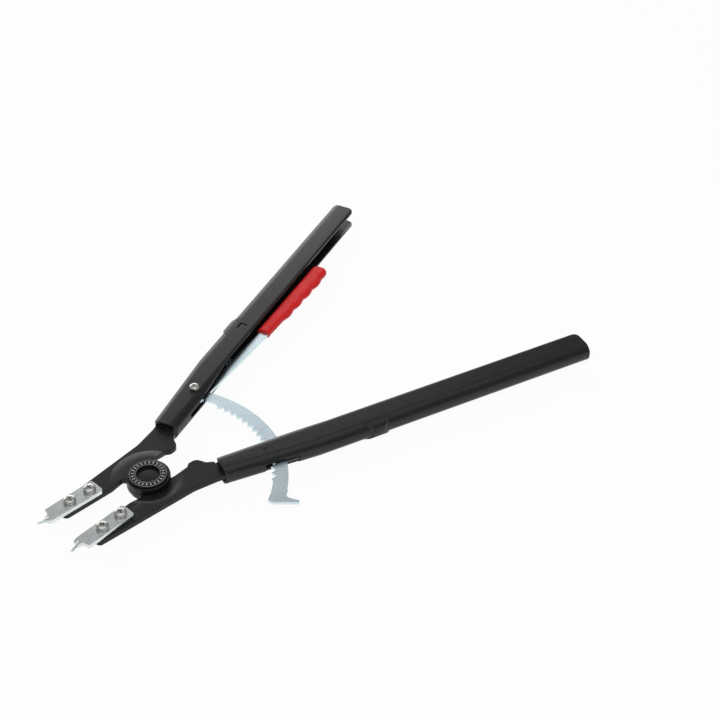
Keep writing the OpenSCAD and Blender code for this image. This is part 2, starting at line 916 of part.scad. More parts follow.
upper_jaw();
lower_jaw();
upper_tip_insert();
lower_tip_insert();
upper_tip_screws();
lower_tip_screws();
pivot_bolt();
pivot_cap();
pivot_washer();
pivot_nut();
upper_handle();
lower_handle();
ratchet_lever();
lever_grip();
lever_screw();
lever_bush();
lever_spacer();
lever_washer();
lever_nut();
lever_spring();
catch_pin();
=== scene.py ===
"""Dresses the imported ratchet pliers: rounded edges, screws, a dipped grip, finishes, light and camera."""

import json
import math
from contextlib import contextmanager

import bmesh
import bpy
from mathutils import Matrix, Vector


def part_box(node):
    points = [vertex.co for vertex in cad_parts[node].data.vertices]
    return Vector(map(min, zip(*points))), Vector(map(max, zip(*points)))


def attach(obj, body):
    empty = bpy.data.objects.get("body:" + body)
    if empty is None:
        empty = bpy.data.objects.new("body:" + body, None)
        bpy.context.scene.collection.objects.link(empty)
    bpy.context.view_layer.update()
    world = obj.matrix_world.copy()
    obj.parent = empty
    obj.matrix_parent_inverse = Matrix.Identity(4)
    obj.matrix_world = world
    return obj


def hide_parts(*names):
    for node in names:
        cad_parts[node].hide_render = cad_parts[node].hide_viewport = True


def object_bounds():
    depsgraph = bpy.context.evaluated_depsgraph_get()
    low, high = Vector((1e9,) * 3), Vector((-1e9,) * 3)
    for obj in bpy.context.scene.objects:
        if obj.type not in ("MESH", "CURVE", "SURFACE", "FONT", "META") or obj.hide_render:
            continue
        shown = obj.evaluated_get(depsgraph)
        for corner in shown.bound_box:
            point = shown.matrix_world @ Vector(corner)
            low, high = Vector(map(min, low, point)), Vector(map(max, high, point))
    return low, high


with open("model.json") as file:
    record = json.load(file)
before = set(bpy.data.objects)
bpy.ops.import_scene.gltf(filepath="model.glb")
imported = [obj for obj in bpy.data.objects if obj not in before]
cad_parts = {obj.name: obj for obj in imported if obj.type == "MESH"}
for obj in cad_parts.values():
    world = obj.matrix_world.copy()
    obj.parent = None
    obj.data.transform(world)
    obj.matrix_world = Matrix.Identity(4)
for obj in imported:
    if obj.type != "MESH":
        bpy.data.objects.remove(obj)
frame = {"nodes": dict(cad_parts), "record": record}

bl_info = {
    "name": "Ratchet pliers",
    "version": (1, 0, 0),
    "blender": (4, 5, 0),
    "location": "View3D > Sidebar > Pliers",
    "description": "Models and finishes the pieces of large ring pliers with a ratchet lock",
    "category": "Object",
}

MM = 0.001
CAD_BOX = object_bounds()
BOLT_HEAD_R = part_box("pivot_bolt")[1].x
NODES = frame["nodes"]
RECORD = frame["record"]
SLOTS = {part["node"]: part["material_slot"] for part in RECORD["subparts"]}
BODIES = {node: body for body, nodes in RECORD["behaviour"]["bodies"].items() for node in nodes}
PICTURE_PX = 720
SENSOR = 36.0

# Merging, rounding and shading of copied meshes
MERGE_GAP = 0.05 * MM
FLAT_WITHIN = math.radians(0.6)
SHARP_FROM = math.radians(38)
SMOOTH_WITHIN = math.radians(35)
ROOM_PER_ROUNDING = 2.2

# Limits on the height of a face's normal, for a level and for an upright face
FLAT_LEVEL = 0.999
UPRIGHT_LEVEL = 0.01

# The gentle cone round the pivot, told by the lean and the place of its faces
CONE_LEANS = (0.23, 0.26)
CONE_LEVEL = 0.96
CONE_REACH = 2 * BOLT_HEAD_R
CONE_RIM_BEYOND = 1.6 * BOLT_HEAD_R

# Share of a screw's head radius beyond which a point belongs to its head
HEAD_FROM = 0.8

# A pan head screw, mostly as shares of its own sizes
SHANK_CHAMFER = 0.25
HEAD_FOOT_R = 0.95
HEAD_FOOT_H = 0.08
HEAD_RIM_H = 0.5
HEAD_DOME_ANGLES = (0, 20, 38, 54, 66, 75, 82, 87)
HEAD_DOME_POWER = 0.5
CROSS_REACH = 0.6
CROSS_WIDTH = 0.25
CROSS_DEPTH = 0.6
CROSS_TAPER = (0.62, 0.8, 1)
BURR_ROUND = 0.07 * MM
BURR_FROM = math.radians(40)

# The grip's rings and section
BEAD_SPAN = (0.4 * MM, 2 * MM)
FRONT_STEPS = (0.05, 0.5, 1.2, 2.0, 3.0)
TAIL_SHARES = (1.0, 0.7, 0.45, 0.25, 0.1, 0.02)
RING_STEP = 2.5 * MM
TAIL_FLATTENING = 0.92
SECTION_CORNER = 0.46

# Points of neighbouring ticks that are closer than this are one
TICK_MERGE_GAP = 0.01 * MM

# The peened end of the catch pin
PEEN_ANGLES = (20, 45, 65, 80)

# Range of the noise that is spread over a finish
NOISE_LOW = 0.3
NOISE_HIGH = 0.7

# Floor and lamps, in metres
FLOOR_SIZE = 14.0
FLOOR_GAP = 0.1 * MM
FLOOR_WHITE_SHARE = 0.95
SOFTBOX_SIZE = (2.2, 2.2)
SOFTBOX_HEIGHT = 1.5
SOFTBOX_NEARER = 0.35
WALL_WIDTH = 3.4
WALL_FOOT = 0.03
WALL_STEP = 1.53
WALL_TOP = 2.2
WALL_BEHIND = 2.3
WALL_ASIDE = 1.5


# Values that a user would change

def length(name, description, default):
    """A size in metres, with its default given in millimetres."""
    return bpy.props.FloatProperty(
        name=name, description=description, default=default * MM, min=0.0, precision=5, unit="LENGTH"
    )


def colour(name, description, default):
    return bpy.props.FloatVectorProperty(
        name=name, description=description, default=default, min=0.0, max=1.0, size=3, subtype="COLOR"
    )


def angle(name, description, default):
    """An angle with its default given in degrees."""
    return bpy.props.FloatProperty(
        name=name, description=description, default=math.radians(default), unit="ROTATION"
    )


def power(name, description, default):
    return bpy.props.FloatProperty(name=name, description=description, default=default, unit="POWER")


class PliersSizes(bpy.types.PropertyGroup):
    """Sizes of what is added to the CAD pieces"""
    sheet_edge: length("Sheet edge", "Rounding of the pressed handles' edges", 0.45)
    forged_edge: length("Forged edge", "Rounding of the jaws' edges", 0.7)
    tip_edge: length("Tip edge", "Rounding of the tip plates' edges", 0.25)
    punched_edge: length("Punched edge", "Rounding of the ratchet plate's edges", 0.22)
    small_edge: length("Small edge", "Rounding of nuts, rings and the spring", 0.15)
    tick_count: bpy.props.IntProperty(
        name="Ticks", description="Number of marks on the bolt's head", default=24
    )
    tick_len: length("Tick length", "Length of a mark on the bolt's head", 2.8)
    tick_w: length("Tick width", "Width of a mark on the bolt's head", 0.9)
    tick_h: length("Tick height", "Height of a mark on the bolt's head", 0.12)
    ring_inset: length("Ring inset", "Distance of the pale rings from the edges of the bolt's head", 1.4)
    ring_w: length("Ring width", "Width of the pale rings on the bolt's head", 0.3)
    pin_dome: length("Pin dome", "Height of the catch pin's peened end", 0.3)
    grip_round: length("Grip round", "Length over which the grip's tail rounds off", 5.0)
    grip_bead: length("Grip bead", "How far the bead at the grip's front stands out", 0.35)


class PliersFinishes(bpy.types.PropertyGroup):
    """Colours of the finishes and the floor"""
    paint: colour("Black paint", "Colour of the painted handles and jaws", (0.0105, 0.0105, 0.011))
    oxide: colour("Black oxide", "Colour of the pivot's pieces", (0.011, 0.011, 0.0115))
    zinc: colour("Zinc", "Colour of the plated ratchet plate and nut", (0.68, 0.80, 0.86))
    tip_steel: colour("Tip steel", "Colour of the tip plates", (0.74, 0.78, 0.79))
    screws: colour("Screws", "Colour of the plated screws", (0.5, 0.5, 0.48))
    spring: colour("Spring steel", "Colour of the spring and the rings", (0.07, 0.07, 0.075))
    vinyl: colour("Red vinyl", "Colour of the lever's grip", (0.78, 0.017, 0.018))
    marks: colour("Marks", "Colour of the marks on the bolt's head", (0.6, 0.6, 0.6))
    floor: colour("Floor", "Colour of the floor", (0.95, 0.95, 0.95))


class PliersView(bpy.types.PropertyGroup):
    """Camera and light"""
    azimuth: angle("Azimuth", "Direction of the camera round the tool", -46.35)
    elevation: angle("Elevation", "Height of the camera above the horizon", 40.14)
    roll: angle("Roll", "Turn of the camera about its own axis", 0.33)
    distance: length("Distance", "Depth of the pivot in front of the camera", 1493.66)
    pivot_lift: length("Pivot lift", "Height of the point on the pivot that the camera is set by", 1.75)
    lens: bpy.props.FloatProperty(
        name="Lens", description="Focal length in millimetres", default=78.83, unit="CAMERA"
    )
    pivot_u: bpy.props.FloatProperty(
        name="Pivot across", description="The pivot's place in the picture", default=149.4, subtype="PIXEL"
    )
    pivot_v: bpy.props.FloatProperty(
        name="Pivot down", description="The pivot's place in the picture", default=485.7, subtype="PIXEL"
    )
    softbox_power: power("Softbox", "Power of the lamp above", 13.0)
    backdrop_power: power("Backdrop", "Power of the lit wall behind", 38.0)
    upper_power: power("Upper backdrop", "Power of the dimmer wall above it", 3.5)
    ambient: bpy.props.FloatProperty(
        name="Ambient", description="Strength of the room's light", default=0.33
    )


# Selecting and editing

def make_active(piece):
    bpy.ops.object.select_all(action="DESELECT")
    piece.select_set(True)
    bpy.context.view_layer.objects.active = piece


@contextmanager
def editing(piece):
    """Edit mode on one piece, with its mesh at hand for selecting by place."""
    make_active(piece)
    bpy.ops.object.mode_set(mode="EDIT")
    yield bmesh.from_edit_mesh(piece.data)
    bpy.ops.object.mode_set(mode="OBJECT")


def select_only(piece, mesh, kind, chosen):
    """Selects the chosen points, edges or faces, and nothing else."""
    bpy.ops.mesh.select_all(action="DESELECT")
    bpy.ops.mesh.select_mode(type=kind)
    for element in chosen:
        element.select = True
    mesh.select_flush_mode()
    bmesh.update_edit_mesh(piece.data)


def select_where(piece, mesh, test):
    """Selects the points whose place passes the test, and what lies between them."""
    select_only(piece, mesh, "VERT", [vertex for vertex in mesh.verts if test(vertex.co)])


def apply_modifier(piece, kind, **settings):
    make_active(piece)
    modifier = piece.modifiers.new(kind.title(), kind)
    for key, value in settings.items():
        setattr(modifier, key, value)
    bpy.ops.object.modifier_apply(modifier=modifier.name)


def smooth(piece, within=SMOOTH_WITHIN):
    make_active(piece)
    bpy.ops.object.shade_smooth_by_angle(angle=within)


def settle(piece, name, node, material, stands_for=True):
    """Names a finished piece, puts its place in its mesh, and lets it ride on its node's body."""
    make_active(piece)
    bpy.ops.object.transform_apply(location=True, rotation=True, scale=True)
    piece.name = name
    piece.data.name = name
    piece.data.materials.clear()
    piece.data.materials.append(material)
    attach(piece, BODIES[node])
    if stands_for:
        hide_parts(node)


# Shapes

def has_room(edge, sharp, room):
    """True when the edges that meet a sharp edge are long enough for its rounding."""
    for vertex in edge.verts:
        beside = [e for e in vertex.link_edges if e is not edge]
        corner = sum(e in sharp for e in beside) > 1
        if any(e.calc_length() < room and (corner or e not in sharp) for e in beside):
            return False
        if corner and edge.calc_length() < room:
            return False
    return True


def select_sharp(piece, room):
    """Selects the sharp edges that have room for a rounding."""
    bpy.ops.mesh.select_all(action="DESELECT")
    bpy.ops.mesh.select_mode(type="EDGE")
    bpy.ops.mesh.edges_select_sharp(sharpness=SHARP_FROM)
    mesh = bmesh.from_edit_mesh(piece.data)
    sharp = {edge for edge in mesh.edges if edge.select}
    select_only(piece, mesh, "EDGE", [edge for edge in sharp if has_room(edge, sharp, room)])


def rounded_copy(node, edge_round, segments=2):
    """A merged copy of a node with its sharp edges rounded."""
    piece = bpy.data.objects.new(node, NODES[node].data.copy())
    bpy.context.scene.collection.objects.link(piece)
    with editing(piece):
        bpy.ops.mesh.select_all(action="SELECT")
        bpy.ops.mesh.remove_doubles(threshold=MERGE_GAP)
        bpy.ops.mesh.customdata_custom_splitnormals_clear()
        bpy.ops.mesh.dissolve_degenerate(threshold=MERGE_GAP)
        bpy.ops.mesh.dissolve_limited(angle_limit=FLAT_WITHIN)
        select_sharp(piece, ROOM_PER_ROUNDING * edge_round)
        bpy.ops.mesh.bevel(offset=edge_round, segments=segments, affect="EDGES", clamp_overlap=False)
    smooth(piece)
    apply_modifier(piece, "WEIGHTED_NORMAL", keep_sharp=True)
    return piece


def on_slope(face, side):
    """True for a face of the gentle cone round the pivot, on the upper (1) or the lower side (-1)."""
    centre = face.calc_center_median().xy
    lean = abs(face.normal.xy.dot(centre.normalized()))
    near = centre.length < CONE_REACH
    return near and CONE_LEANS[0] < lean < CONE_LEANS[1] and face.normal.z * side > CONE_LEVEL


def clear_slope(piece, side):
    """Dissolves the stray points inside the cone round the pivot."""
    with editing(piece) as mesh:
        strays = [v for v in mesh.verts if all(on_slope(face, side) for face in v.link_faces)]
        select_only(piece, mesh, "VERT", strays)
        bpy.ops.mesh.dissolve_verts()


def soften_slope(piece, side):
    """Adds a ring of points half way up the cone, so that it runs softly into the flats beside it."""
    with editing(piece) as mesh:
        cone = [face for face in mesh.faces if on_slope(face, side)]
        heights = [vertex.co.z for face in cone for vertex in face.verts]
        select_only(piece, mesh, "FACE", cone)
        bpy.ops.mesh.bisect(plane_co=(0, 0, (min(heights) + max(heights)) / 2), plane_no=(0, 0, 1))


def crease_slope(piece, side):
    """Keeps the outer edge of the cone crisp."""
    with editing(piece) as mesh:
        rim = []
        for edge in mesh.edges:
            outer = min(vertex.co.xy.length for vertex in edge.verts) > CONE_RIM_BEYOND
            level = any(abs(face.normal.z) > FLAT_LEVEL for face in edge.link_faces)
            if outer and level and any(on_slope(face, side) for face in edge.link_faces):
                rim.append(edge)
        select_only(piece, mesh, "EDGE", rim)
        bpy.ops.mesh.mark_sharp()


def finish_slopes(piece, raised):
    """Gives the jaw's raised side a crisp cone round the pivot, and its hollow side a soft one."""
    for side in (1, -1):
        clear_slope(piece, side)
    soften_slope(piece, -raised)
    smooth(piece)
    crease_slope(piece, raised)
    apply_modifier(piece, "WEIGHTED_NORMAL", keep_sharp=True)


def turned(profile, place, sides=64):
    """A turned piece about a vertical axis, drawn out ring by ring along a profile of (radius, height)."""
    (radius, height), *rest = profile
    x, y, z = place
    bpy.ops.object.select_all(action="DESELECT")
    bpy.ops.mesh.primitive_circle_add(
        vertices=sides, radius=radius, location=(x, y, z + height), fill_type="NGON"
    )
    piece = bpy.context.object
    with editing(piece):
        bpy.ops.mesh.select_all(action="SELECT")
        for next_radius, next_height in rest:
            bpy.ops.mesh.extrude_region_move(
                TRANSFORM_OT_translate={"value": (0, 0, next_height - height)}
            )
            share = next_radius / radius
            bpy.ops.transform.resize(value=(share, share, 1), center_override=(x, y, z + next_height))
            radius, height = next_radius, next_height
        bpy.ops.mesh.select_all(action="SELECT")
        bpy.ops.mesh.normals_make_consistent(inside=False)
    return piece


def cross_cutter(place, reach, width, depth):
    """Two tapered bars across each other, whose tops lie above the place."""
    bars = []
    for turn in (0, math.pi / 2):
        bpy.ops.object.select_all(action="DESELECT")
        bpy.ops.mesh.primitive_cube_add(size=1, location=place, rotation=(0, 0, turn))
        bar = bpy.context.object
        bar.dimensions = (2 * reach, width, 2 * depth)
        make_active(bar)
        bpy.ops.object.transform_apply(location=False, rotation=False, scale=True)
        with editing(bar) as mesh:
            select_where(bar, mesh, lambda co: co.z < 0)
            bpy.ops.transform.resize(value=CROSS_TAPER)
        bars.append(bar)
    apply_modifier(bars[0], "BOOLEAN", operation="UNION", object=bars[1], solver="EXACT")
    bpy.data.objects.remove(bars[1])
    return bars[0]


def pan_screw(place, head_r, head_h, shank_r, shank_len):
    """A pan head screw with a cross recess, seated on its place and reaching down."""
    chamfer = SHANK_CHAMFER * shank_r
    rim = HEAD_RIM_H * head_h
    dome = [
        (head_r * math.cos(a) ** HEAD_DOME_POWER, rim + (head_h - rim) * math.sin(a))
        for a in map(math.radians, HEAD_DOME_ANGLES)
    ]
    profile = [
        (shank_r - chamfer, -shank_len),
        (shank_r, chamfer - shank_len),
        (shank_r, 0.0),
        (HEAD_FOOT_R * head_r, 0.0),
        (head_r, HEAD_FOOT_H * head_h),
        *dome,
    ]
    piece = turned(profile, place)
    top = Vector(place) + Vector((0, 0, head_h))
    cutter = cross_cutter(top, CROSS_REACH * head_r, CROSS_WIDTH * head_r, CROSS_DEPTH * head_h)
    apply_modifier(piece, "BOOLEAN", operation="DIFFERENCE", object=cutter, solver="EXACT")
    bpy.data.objects.remove(cutter)
    apply_modifier(
        piece, "BEVEL", width=BURR_ROUND, segments=2, limit_method="ANGLE", angle_limit=BURR_FROM
    )
    smooth(piece)
    return piece


def placed_copy(model, place):
    """A copy, with a mesh of its own, of a model that was made at the origin."""
    piece = bpy.data.objects.new(model.name, model.data.copy())
    bpy.context.scene.collection.objects.link(piece)
    piece.location = model.location + Vector(place)
    return piece


def joined(pieces):
    make_active(pieces[0])
    for piece in pieces[1:]:
        piece.select_set(True)
    bpy.ops.object.join()
    return pieces[0]


# Places read from the frame

def screw_shape(points):
    """Seat, radii and heights of one upright screw, from the points of its CAD mesh."""
    x = (min(p.x for p in points) + max(p.x for p in points)) / 2
    y = (min(p.y for p in points) + max(p.y for p in points)) / 2
    low = min(p.z for p in points)
    high = max(p.z for p in points)
    reach = [(math.hypot(p.x - x, p.y - y), p.z) for p in points]
    head_r = max(r for r, z in reach)
    seat = min(z for r, z in reach if r > HEAD_FROM * head_r)
    shank_r = max(r for r, z in reach if z < seat - MERGE_GAP)
    return (x, y, seat), head_r, high - seat, shank_r, seat - low


def screw_pair(node):
    """The points of the two screws in a node, front one first."""
    low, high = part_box(node)
    middle = (low.x + high.x) / 2
    points = [v.co for v in NODES[node].data.vertices]
    return [p for p in points if p.x < middle], [p for p in points if p.x >= middle]


def handle_direction():
    """Direction of the upper handle in plan, from the widest upright face of its web."""
    areas = {}
    for face in NODES["upper_handle"].data.polygons:
        if abs(face.normal.z) < UPRIGHT_LEVEL:
            turn = round(math.degrees(math.atan2(face.normal.x, -face.normal.y)) % 180, 1)
            areas[turn] = areas.get(turn, 0) + face.area
    return math.radians(max(areas, key=areas.get))


def along_and_across(node, turn):
    """A node's triangles with their points given along and across the handle."""
    mesh = NODES[node].data
    c, s = math.cos(turn), math.sin(turn)
    points = [(v.co.x * c + v.co.y * s, v.co.y * c - v.co.x * s) for v in mesh.vertices]
    return [[points[i] for i in face.vertices] for face in mesh.polygons]


def span_at(triangles, place):
    """Lowest and highest point across the handle, of the triangles that a plane along it cuts."""
    across = []
    for triangle in triangles:
        for (s0, n0), (s1, n1) in zip(triangle, triangle[1:] + triangle[:1]):
            if (s0 - place) * (s1 - place) < 0:
                across.append(n0 + (n1 - n0) * (place - s0) / (s1 - s0))
    return min(across), max(across)


# Materials

def new_material(name):
    material = bpy.data.materials.new(name)
    material.use_nodes = True
    nodes = material.node_tree.nodes
    nodes.clear()
    shader = nodes.new("ShaderNodeBsdfPrincipled")
    output = nodes.new("ShaderNodeOutputMaterial")
    material.node_tree.links.new(shader.outputs["BSDF"], output.inputs["Surface"])
    return material, shader


def noise(material, scale, detail=3.0, stretch=(1, 1, 1)):
    """Noise on Object coordinates, with features about one over the scale in metres."""
    nodes, links = material.node_tree.nodes, material.node_tree.links
    coordinates = nodes.new("ShaderNodeTexCoord")
    mapping = nodes.new("ShaderNodeMapping")
    mapping.inputs["Scale"].default_value = stretch
    texture = nodes.new("ShaderNodeTexNoise")
    texture.inputs["Scale"].default_value = scale
    texture.inputs["Detail"].default_value = detail
    links.new(coordinates.outputs["Object"], mapping.inputs["Vector"])
    links.new(mapping.outputs["Vector"], texture.inputs["Vector"])
    return texture.outputs["Fac"]


def vary_colour(material, shader, factor, dark, light, low=0.35, high=0.65):
    ramp = material.node_tree.nodes.new("ShaderNodeValToRGB")
    ramp.color_ramp.elements[0].position = low
    ramp.color_ramp.elements[0].color = (*dark, 1)
    ramp.color_ramp.elements[1].position = high
    ramp.color_ramp.elements[1].color = (*light, 1)
    material.node_tree.links.new(factor, ramp.inputs["Fac"])
    material.node_tree.links.new(ramp.outputs["Color"], shader.inputs["Base Color"])


def vary_roughness(material, shader, factor, low, high):
    spread = material.node_tree.nodes.new("ShaderNodeMapRange")
    spread.inputs["From Min"].default_value = NOISE_LOW
    spread.inputs["From Max"].default_value = NOISE_HIGH
    spread.inputs["To Min"].default_value = low
    spread.inputs["To Max"].default_value = high
    material.node_tree.links.new(factor, spread.inputs["Value"])
    material.node_tree.links.new(spread.outputs["Result"], shader.inputs["Roughness"])


def add_bump(material, shader, factor, height, strength):
    bump = material.node_tree.nodes.new("ShaderNodeBump")
    bump.inputs["Distance"].default_value = height
    bump.inputs["Strength"].default_value = strength
    material.node_tree.links.new(factor, bump.inputs["Height"])
    material.node_tree.links.new(bump.outputs["Normal"], shader.inputs["Normal"])


def shade(colour_value, share):
    """A colour made lighter or darker by one share."""
    return tuple(min(1.0, c * share) for c in colour_value)


def painted(name, specular):
    """Black paint whose gloss differs between the pressed sheet and the forgings."""
    base = bpy.context.scene.pliers_finishes.paint
    material, shader = new_material(name)
    shader.inputs["Specular IOR Level"].default_value = specular
    vary_colour(material, shader, noise(material, 180), shade(base, 0.8), shade(base, 1.25))
    vary_roughness(material, shader, noise(material, 420), low=0.3, high=0.38)
    add_bump(material, shader, noise(material, 2600, detail=2.0), height=0.04 * MM, strength=0.2)
    return material


def sheet_paint():
    return painted("satin_black_paint", specular=0.35)


def forging_paint():
    return painted("dull_black_paint", specular=0.25)


def black_oxide():
    base = bpy.context.scene.pliers_finishes.oxide
    material, shader = new_material("black_oxide_steel")
    shader.inputs["Specular IOR Level"].default_value = 0.22
    vary_colour(material, shader, noise(material, 300), shade(base, 0.8), shade(base, 1.3))
    vary_roughness(material, shader, noise(material, 700), low=0.28, high=0.4)
    add_bump(material, shader, noise(material, 1800, detail=2.0), height=0.03 * MM, strength=0.2)
    return material


def zinc_plate():
    base = bpy.context.scene.pliers_finishes.zinc
    material, shader = new_material("zinc_plate")
    shader.inputs["Metallic"].default_value = 1.0
    vary_colour(material, shader, noise(material, 90), shade(base, 0.97), shade(base, 1.03))
    vary_roughness(material, shader, noise(material, 600), low=0.22, high=0.28)
    add_bump(material, shader, noise(material, 2200), height=0.006 * MM, strength=0.1)
    return material


def plated_screw():
    base = bpy.context.scene.pliers_finishes.screws
    material, shader = new_material("plated_screw_steel")
    shader.inputs["Metallic"].default_value = 1.0
    vary_colour(material, shader, noise(material, 250), shade(base, 0.85), shade(base, 1.1))
    vary_roughness(material, shader, noise(material, 600), low=0.22, high=0.32)
    add_bump(material, shader, noise(material, 1500), height=0.02 * MM, strength=0.2)
    return material


def ground_steel():
    base = bpy.context.scene.pliers_finishes.tip_steel
    material, shader = new_material("ground_tip_steel")
    shader.inputs["Metallic"].default_value = 1.0
    streaks = noise(material, 300, detail=4.0, stretch=(0.2, 1, 1))
    vary_colour(material, shader, streaks, shade(base, 0.92), shade(base, 1.06))
    grinding = noise(material, 900, stretch=(0.1, 1, 1))
    vary_roughness(material, shader, grinding, low=0.2, high=0.27)
    scratches = noise(material, 1600, stretch=(0.06, 1, 1))
    add_bump(material, shader, scratches, height=0.006 * MM, strength=0.12)
    return material


def spring_steel():
    base = bpy.context.scene.pliers_finishes.spring
    material, shader = new_material("tempered_spring_steel")
    shader.inputs["Metallic"].default_value = 1.0
    vary_colour(material, shader, noise(material, 200), shade(base, 0.8), shade(base, 1.2))
    vary_roughness(material, shader, noise(material, 800), low=0.3, high=0.45)
    add_bump(material, shader, noise(material, 2000, detail=2.0), height=0.02 * MM, strength=0.2)
    return material


def red_vinyl():
    base = bpy.context.scene.pliers_finishes.vinyl
    material, shader = new_material("dipped_red_vinyl")
    shader.inputs["Specular IOR Level"].default_value = 0.3
    vary_colour(material, shader, noise(material, 120), shade(base, 0.92), shade(base, 1.08))
    vary_roughness(material, shader, noise(material, 500), low=0.38, high=0.5)
    add_bump(material, shader, noise(material, 1400, detail=2.0), height=0.05 * MM, strength=0.2)
    return material


def pale_marks():
    base = bpy.context.scene.pliers_finishes.marks
    material, shader = new_material("pale_marking_paint")
    vary_colour(material, shader, noise(material, 500), shade(base, 0.7), shade(base, 1.1))
    vary_roughness(material, shader, noise(material, 500), low=0.5, high=0.65)
    return material


FINISH_MAKERS = {
    "black_paint": sheet_paint,
    "forgings": forging_paint,
    "black_steel": black_oxide,
    "bright_steel": ground_steel,
    "zinc": zinc_plate,
    "screws": plated_screw,
    "spring_steel": spring_steel,
    "red_vinyl": red_vinyl,
    "marks": pale_marks,
}
finishes = {}


def finish(kind):
    """The material of a finish, made once."""
    if kind not in finishes:
        finishes[kind] = FINISH_MAKERS[kind]()
    return finishes[kind]


# Pieces

class PLIERS_OT_handles(bpy.types.Operator):
    """Pressed channel handles with rounded sheet edges"""
    bl_idname = "pliers.handles"
    bl_label = "Handles"

    def execute(self, context):
        for node in ("upper_handle", "lower_handle"):
            piece = rounded_copy(node, context.scene.pliers_sizes.sheet_edge)
            settle(piece, f"pressed_{node}", node, finish(SLOTS[node]))
        return {"FINISHED"}


class PLIERS_OT_jaws(bpy.types.Operator):
    """Forged jaws with soft edges"""
    bl_idname = "pliers.jaws"
    bl_label = "Jaws"

    def execute(self, context):
        for node, raised in (("upper_jaw", 1), ("lower_jaw", -1)):
            piece = rounded_copy(node, context.scene.pliers_sizes.forged_edge, segments=3)
            finish_slopes(piece, raised)
            settle(piece, f"forged_{node}", node, finish("forgings"))
        return {"FINISHED"}


class PLIERS_OT_tips(bpy.types.Operator):
    """Ground tip plates with their ring pins"""
    bl_idname = "pliers.tips"
    bl_label = "Tips"

    def execute(self, context):
        for node in ("upper_tip_insert", "lower_tip_insert"):
            piece = rounded_copy(node, context.scene.pliers_sizes.tip_edge)
            settle(piece, f"ground_{node}", node, finish(SLOTS[node]))
        return {"FINISHED"}


class PLIERS_OT_tip_screws(bpy.types.Operator):
    """Pan head screws that hold the tip plates"""
    bl_idname = "pliers.tip_screws"
    bl_label = "Tip screws"

    def execute(self, context):
        nodes = ("upper_tip_screws", "lower_tip_screws")
        shape = screw_shape(screw_pair(nodes[0])[0])[1:]
        model = pan_screw((0, 0, 0), *shape)
        for node in nodes:
            screws = [placed_copy(model, screw_shape(points)[0]) for points in screw_pair(node)]
            settle(joined(screws), f"turned_{node}", node, finish("screws"))
        bpy.data.objects.remove(model)
        return {"FINISHED"}


class PLIERS_OT_pivot(bpy.types.Operator):
    """Pivot bolt with a grooved head, its cap, washer and nut"""
    bl_idname = "pliers.pivot"
    bl_label = "Pivot"

    def execute(self, context):
        sizes = context.scene.pliers_sizes
        for node in ("pivot_bolt", "pivot_washer", "pivot_nut", "pivot_cap"):
            piece = rounded_copy(node, sizes.small_edge)
            settle(piece, f"turned_{node}", node, finish(SLOTS[node]))
        self.marks(sizes)
        return {"FINISHED"}

    def marks(self, sizes):
        """Plain marks between two pale rings on the bolt's head."""
        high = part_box("pivot_bolt")[1]
        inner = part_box("pivot_cap")[1].x
        middle = (inner + high.x) / 2
        bpy.ops.object.select_all(action="DESELECT")
        bpy.ops.mesh.primitive_cube_add(size=1, location=(0, middle, high.z))
        piece = bpy.context.object
        piece.dimensions = (sizes.tick_w, sizes.tick_len, 2 * sizes.tick_h)
        bpy.ops.object.transform_apply(location=True, rotation=False, scale=True)
        with editing(piece) as mesh:
            select_where(piece, mesh, lambda co: co.z > high.z)
            bpy.ops.mesh.bevel(offset=sizes.tick_h / 2, segments=1, affect="EDGES")
            bpy.ops.mesh.select_all(action="SELECT")
            bpy.ops.mesh.spin(
                steps=sizes.tick_count, dupli=True, angle=2 * math.pi, center=(0, 0, 0), axis=(0, 0, 1)
            )
            bpy.ops.mesh.select_all(action="SELECT")
            bpy.ops.mesh.remove_doubles(threshold=TICK_MERGE_GAP)
        radii = (inner + sizes.ring_inset, high.x - sizes.ring_inset)
        rings = [self.ring(radius, high.z, sizes) for radius in radii]
        settle(joined([piece, *rings]), "pivot_marks", "pivot_bolt", finish("marks"), stands_for=False)

    def ring(self, radius, top, sizes):
        """Pale ring on the bolt's head."""
        bpy.ops.object.select_all(action="DESELECT")
        bpy.ops.mesh.primitive_torus_add(
            location=(0, 0, top - sizes.tick_h), major_segments=96, minor_segments=8,
            major_radius=radius, minor_radius=sizes.ring_w / 2,
        )
        smooth(bpy.context.object)
        return bpy.context.object


class PLIERS_OT_ratchet(bpy.types.Operator):
    """Punched ratchet plate with the lever's bar"""
    bl_idname = "pliers.ratchet"
    bl_label = "Ratchet"

    def execute(self, context):
        node = "ratchet_lever"
        piece = rounded_copy(node, context.scene.pliers_sizes.punched_edge)
        settle(piece, f"punched_{node}", node, finish(SLOTS[node]))
        return {"FINISHED"}


